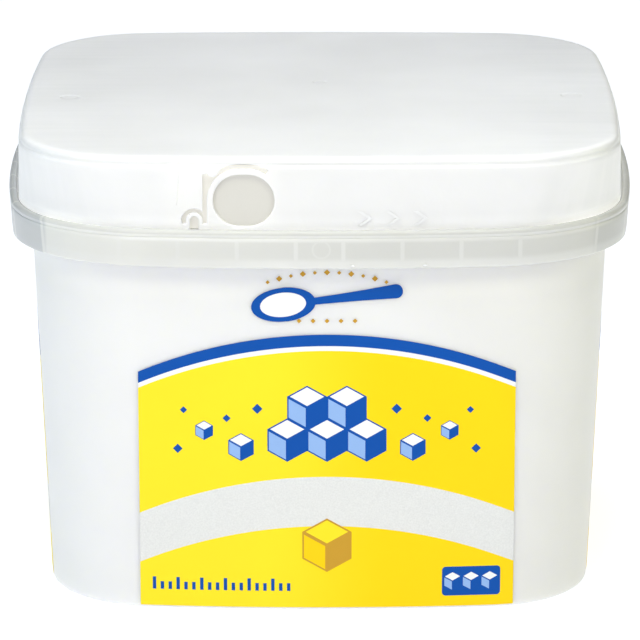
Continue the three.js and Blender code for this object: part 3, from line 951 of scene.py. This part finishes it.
def collar_material():
    """Natural polypropylene, with painted light where a rib stands behind the hanging wall, at its foot
    and under the ledge, painted shade in the bays between, and a pale mould mark.
    """
    result = material("natural_collar", (0.82, 0.82, 0.79), 0.3, mottle=0.015,
                      subsurface=0.6, radius=(2.0, 2.0, 1.7))
    x, y, z = coordinates(result)
    aside, ahead = calculate("ABSOLUTE", x), calculate("ABSOLUTE", y)
    along = calculate("MINIMUM", aside, ahead)
    # Every rib of a side stands in the middle of a cell as wide as their pitch.
    cells_start = (RIB["first"] - RIB["pitch"] / 2) * MM
    cell = calculate("MODULO", calculate("SUBTRACT", along, cells_start), RIB["pitch"] * MM)
    away = calculate("ADD", off(cell, RIB["pitch"] / 2), fade(along, 53.5, 54, 0, 0.01))
    from_corner_rib = off(calculate("SUBTRACT", aside, ahead), CORNER_RIB[0] - CORNER_RIB[1])
    away = calculate("MINIMUM", away, product(from_corner_rib, math.sqrt(0.5)))
    # Painted light: paler along each rib, near the foot and near the top of the hanging wall.
    rib = fade(away, 0.3, 0.75, 0.8, 0)
    foot, top = COLLAR_FOOT_Z, COLLAR_UNDERSIDE_Z
    low = fade(z, foot + 1.4, foot + 3, 1, 0.1)
    high = fade(z, top - 1.1, top - 0.1, 0, 1)
    paler = calculate("MAXIMUM", rib, calculate("MAXIMUM", low, high))
    mark = radial_distance(x, z, (COLLAR_MARK["x"], COLLAR_MARK["z"]))
    mark = product(fade(off(mark, COLLAR_MARK["radius"]), 0.1, 0.4, 0.5, 0), fade(y, -75, -70, 1, 0))
    paler = calculate("MAXIMUM", paler, mark)
    # Painted shade: what is not pale is darkened, most of all the bays between the ribs.
    multiply_tint(result, (0.875, 0.875, 0.862), calculate("SUBTRACT", 1.0, paler))
    # What is painted pale is less so to the left, and most of all on the hanging wall.
    to_left = product(fade(x, -45, 2, 1, 0), fade(z, top - 1.1, top, 1, 0.55))
    multiply_tint(result, (0.885, 0.885, 0.885), product(paler, to_left))
    # Painted shade: the collar darkens towards the right, away from the key light.
    multiply_tint(result, (0.84, 0.84, 0.84), fade(x, -70, 30, 0, 1))
    # Painted shade: beyond the last ribs of the front the collar is darker, except on the corner ribs.
    end = product(fade(aside, 66, 67.5, 0, 1), calculate("SUBTRACT", 1.0, rib))
    multiply_tint(result, (0.76, 0.775, 0.81), product(end, fade(x, -40, 40, 1, 0.35)))
    # Painted shade on the ledge and the bead under the lid's skirt.
    multiply_tint(result, (0.825, 0.825, 0.815),
                  fade(z, COLLAR_LEDGE_Z - 0.3, COLLAR_LEDGE_Z, 0, 1))
    return result


def wall_material():
    """Natural polypropylene over sugar, with painted warm light towards the right and a painted pale
    band under the collar.
    """
    result = material("natural_polypropylene", (0.93, 0.925, 0.9), 0.34,
                      subsurface=1.0, radius=(3.0, 3.0, 2.6))
    x, _, z = coordinates(result)
    # Painted light: warmer towards the right.
    multiply_tint(result, (0.965, 0.96, 0.935), fade(x, 0, 55, 0, 1))
    # Painted shade below, leaving the band just under the collar pale against the collar's shadow.
    multiply_tint(result, (0.903, 0.906, 0.917), fade(z, 79, 87, 1, 0))
    return result


def neck_material():
    """The neck, painted darker than the collar's plastic as shade under the lid, with a painted glow
    where the lid's openings show it and at its foot, in place of light through the filled tub.
    """
    result = material("natural_neck", (0.38, 0.375, 0.345), subsurface=0.5)
    x, y, z = coordinates(result)
    # Painted glow behind the hole and the slots, brighter higher up.
    behind_cuts = product(fade(x, -37.5, -35.5, 0, 1), fade(x, -11, -9, 1, 0),
                          fade(y, -32, -31, 1, 0), fade(z, 113.9, 114.4, 1, 0))
    in_hole, low_slots, high_slots = 0.34, 0.49, 0.67
    beside_hole = radial_distance(x, z, (HOLE["x"], HOLE["z"] - 0.5))
    brighter = product(fade(beside_hole, 7.5, 7.9, 0, 1),
                       fade(z, 109.5, 112.5, low_slots - in_hole, high_slots - in_hole))
    glow = product(behind_cuts, calculate("ADD", brighter, in_hole))
    # Painted glow at the foot of the neck lifts the shade in the gap under the skirt.
    crevice = fade(z, 98.6, 99.8, 0.5, 0)
    add_glow(result, (1.0, 0.975, 0.9), calculate("MAXIMUM", glow, crevice))
    return result


def lid_material():
    """White polypropylene with faint flow lines near the sides of the plate."""
    result = material("white_polypropylene", (0.915, 0.915, 0.91), 0.33, 700, 0.15, 0.045,
                      subsurface=1.0, radius=(1.2, 1.2, 1.1), mottle_scale=22.0)
    x, y, z = coordinates(result)
    aside = calculate("ABSOLUTE", x)
    stretched = {"Vector": object_place(result), "Scale": (22.0, 420.0, 40.0)}
    stretch = add_node(result.node_tree, "Mapping", stretched)
    flow = noise(stretch.outputs["Vector"], 1.0, 3)
    lines = ramp(flow, (0.35, (0.93, 0.94, 0.94)), (0.65, (1, 1, 1)))
    multiply_tint(result, lines, fade(aside, 25, 65, 0, 0.5))
    # Painted light and shade: the skirt's foot and the plate's front right are the brightest, the round
    # edge the darkest.
    front_right_highlight = product(fade(y, -60, -10, 0.6, 0), fade(x, -60, -10, 0, 1), fade(z, 115.5, 116, 0, 1))
    darker = calculate("SUBTRACT", fade(z, 99, 103, 0, 1), front_right_highlight)
    multiply_tint(result, (0.905, 0.905, 0.903), darker)
    # Painted shade: the skirt below the shoulder a little darker than the band above it.
    multiply_tint(result, (0.985, 0.982, 0.98), fade(z, 113.1, 113.7, 1, 0))
    round_edge_shade = product(fade(z, 114.4, 114.8, 0, 1), fade(z, 115.5, 115.9, 1, 0))
    multiply_tint(result, (0.935, 0.935, 0.935), round_edge_shade)
    # A painted glow at the foot and in the round corners lifts the shade there, in place of light
    # through the plastic.
    foot = SKIRT_FOOT_Z
    corner = product(fade(aside, 54, 70, 0, 0.1), fade(z, 112, 114, 1, 0), fade(x, -60, 60, 0.6, 1))
    low_corner_glow = product(fade(aside, 45, 66, 0, 0.25), fade(z, foot, foot + 3, 1, 0))
    at_foot = fade(z, foot, foot + 1.3, 0.16, 0)
    add_glow(result, (1.0, 0.995, 0.98),
             calculate("ADD", at_foot, calculate("ADD", corner, low_corner_glow)))
    heights = []
    for mark_x, mark_y, radius in PLATE_MARKS:
        away = radial_distance(x, y, (mark_x, mark_y))
        heights.append(fade(away, radius - 0.35, radius + 0.35, 0, 1))
        # Painted shade darkens the far half of each mark's rim.
        rim = fade(off(away, radius), 0, 0.45, 1, 0)
        behind = fade(y, mark_y, mark_y + radius, 0, 1)
        multiply_tint(result, (0.985, 0.985, 0.985), product(rim, behind))
    skin = shader_of(result).inputs["Normal"].links[0].from_socket
    dents = {"Strength": 1.0, "Distance": 0.2 * MM, "Height": product(*heights), "Normal": skin}
    fill(shader_of(result), {"Normal": add_node(result.node_tree, "Bump", dents).outputs["Normal"]})
    return result


def yellow_material():
    """Yellow ink that turns from lemon to golden across the front and the back."""
    result = ink("yellow_ink", (1.0, 0.79, 0.02))
    multiply_tint(result, (1.0, 0.88, 0.1), fade(coordinates(result)[0], -14, 18, 0, 1))
    return result


def wear(piece, finish, slot, *replaced):
    piece.data.materials.clear()
    piece.data.materials.append(finish)
    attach(piece, "root")
    if replaced:
        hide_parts(*replaced)


# ---- the scene ----

natural = wall_material()
collar = collar_material()
white = lid_material()
blue = ink("blue_ink", (0.0, 0.08, 0.4), 0.04)
yellow = yellow_material()
lemon = ink("lemon_ink", (1.0, 0.79, 0.02))
golden = ink("golden_ink", (1.0, 0.66, 0.002))
white_ink = material("white_ink", (0.9, 0.905, 0.895), 0.33, mottle=0.01)
pale_ink = ink("pale_blue_ink", (0.3, 0.48, 0.82), 0.02)
gold = ink("gold_ink", (0.6, 0.33, 0.03), 0.03)
grain = material("sugar_grain_ink", (0.77, 0.775, 0.75), 0.45, 3200, 0.5, 0.05, mottle_scale=2400)

tub = make_tub()
wear(tub, natural, "natural_tub", "tub")
tub.data.materials.append(collar)
tub.data.materials.append(neck_material())
SLACK = 0.1
for polygon in tub.data.polygons:
    height = polygon.center.z / MM
    if height > COLLAR_BEAD_Z + SLACK:
        polygon.material_index = 2
    elif height > COLLAR_FOOT_Z - SLACK and (height > COLLAR_UNDERSIDE_Z + SLACK
                                             or beyond_wall(polygon.center) > SLACK):
        polygon.material_index = 1
wear(make_lid(), white, "white_lid", "lid")
relief = material("white_relief", (0.84, 0.842, 0.838), 0.33, 700, 0.15)
wear(make_arrows(), relief, "white_lid")
wear(make_nibs(), relief, "natural_tub")

stripe_foot = STRIPE["crown"] - STRIPE["depth"]
panel_crown = stripe_foot - WHITE_LINE
ribbon_foot = RIBBON["crown"] - RIBBON["depth"]
for side in SIDES:
    panel = WIDE_PANEL if side in ("front", "back") else NARROW_PANEL
    fields = {
        "stripe": (field_line(STRIPE["crown"], stripe_foot, panel), blue, "print_blue"),
        "upper_field": (field_line(panel_crown, RIBBON["crown"], panel), yellow, "print_lemon"),
        "ribbon": (field_line(RIBBON["crown"], ribbon_foot, panel), grain, "print_white"),
        "lower_field": (field_line(ribbon_foot, PANEL_FOOT_Z, panel, True), yellow, "print_golden"),
    }
    for name, (line, finish, slot) in fields.items():
        wear(make_field(name, side, [line]), finish, slot, f"print_{side}_{name}")
    between_fields = field_line(stripe_foot, panel_crown, panel)
    wear(make_field("white_line", side, [between_fields]), white_ink, "print_white")

INKS = {
    "navy_motifs": (blue, "print_blue", MOTIF_PROUD),
    "gold_motifs": (gold, "print_golden", MOTIF_PROUD),
    "white_motifs": (white_ink, "print_white", DETAIL_PROUD),
    "pale_motifs": (pale_ink, "print_blue", DETAIL_PROUD),
    "lemon_motifs": (lemon, "print_lemon", DETAIL_PROUD),
    "golden_motifs": (golden, "print_golden", DETAIL_PROUD),
}
for name, lines in front_motifs().items():
    finish, slot, proud = INKS[name]
    wear(make_field(name, "front", lines, proud), finish, slot)

# ---- stage ----

bpy.ops.mesh.primitive_plane_add(size=12, location=(0, 0, 0))
floor = bpy.context.object
floor.name = "floor"
paper = bpy.data.materials.new("pale_paper")
paper.use_nodes = True
fill(shader_of(paper), {"Base Color": (0.4, 0.4, 0.4, 1), "Roughness": 0.9})
add_glow(paper, (0.93, 0.95, 1.0), 0.78)
floor.data.materials.append(paper)


def soft_light(name, location, target, size, power, color):
    data = bpy.data.lights.new(name, "AREA")
    data.shape = "RECTANGLE"
    data.size, data.size_y = size
    data.energy = power
    data.color = color
    lamp = bpy.data.objects.new(name, data)
    lamp.location = location
    aim = Vector(target) - Vector(location)
    lamp.rotation_euler = aim.to_track_quat("-Z", "Y").to_euler()
    bpy.context.scene.collection.objects.link(lamp)


soft_light("key", (-0.6, -1.8, 0.6), (0, 0, 0.06), (0.8, 0.6), 8.3, (0.86, 0.88, 1.0))
soft_light("top", (0, -0.32, 0.36), (0, -0.02, 0.117), (0.3, 0.12), 0.73, (1.0, 0.995, 0.83))
soft_light("over", (0, -0.2, 1.5), (0, 0, 0), (1.6, 1.6), 20.3, (0.86, 0.885, 1.0))
soft_light("back", (0, 1.6, 1.15), (0, 0, 0.1), (2.6, 1.2), 8.7, (1.0, 0.995, 0.89))
soft_light("left", (-1.5, 0.2, 0.5), (0, 0, 0.06), (0.8, 0.8), 2.8, (0.64, 1.0, 0.99))
soft_light("right", (1.5, 0.2, 0.5), (0, 0, 0.06), (0.8, 0.8), 3.7, (0.97, 0.98, 0.4))

world = bpy.context.scene.world or bpy.data.worlds.new("room")
bpy.context.scene.world = world
world.use_nodes = True
fill(world.node_tree.nodes["Background"], {"Color": (0.95, 0.97, 1.0, 1), "Strength": 0.02})

CAMERA = {"place": (0.0001, -1.1668, 0.3745), "looks_down": math.radians(15.29),
          "sensor": 36, "focal_pixels": 4684.14, "image_pixels": 640}
camera_data = bpy.data.cameras.new("camera")
camera_data.sensor_width = CAMERA["sensor"]
camera_data.lens = CAMERA["sensor"] * CAMERA["focal_pixels"] / CAMERA["image_pixels"]
camera = bpy.data.objects.new("camera", camera_data)
camera.location = CAMERA["place"]
camera.rotation_euler = (RIGHT_ANGLE - CAMERA["looks_down"], 0, 0)
bpy.context.scene.collection.objects.link(camera)
bpy.context.scene.camera = camera

view = bpy.context.scene.view_settings
view.view_transform = "Standard"
view.look = "None"
view.exposure = 0.0
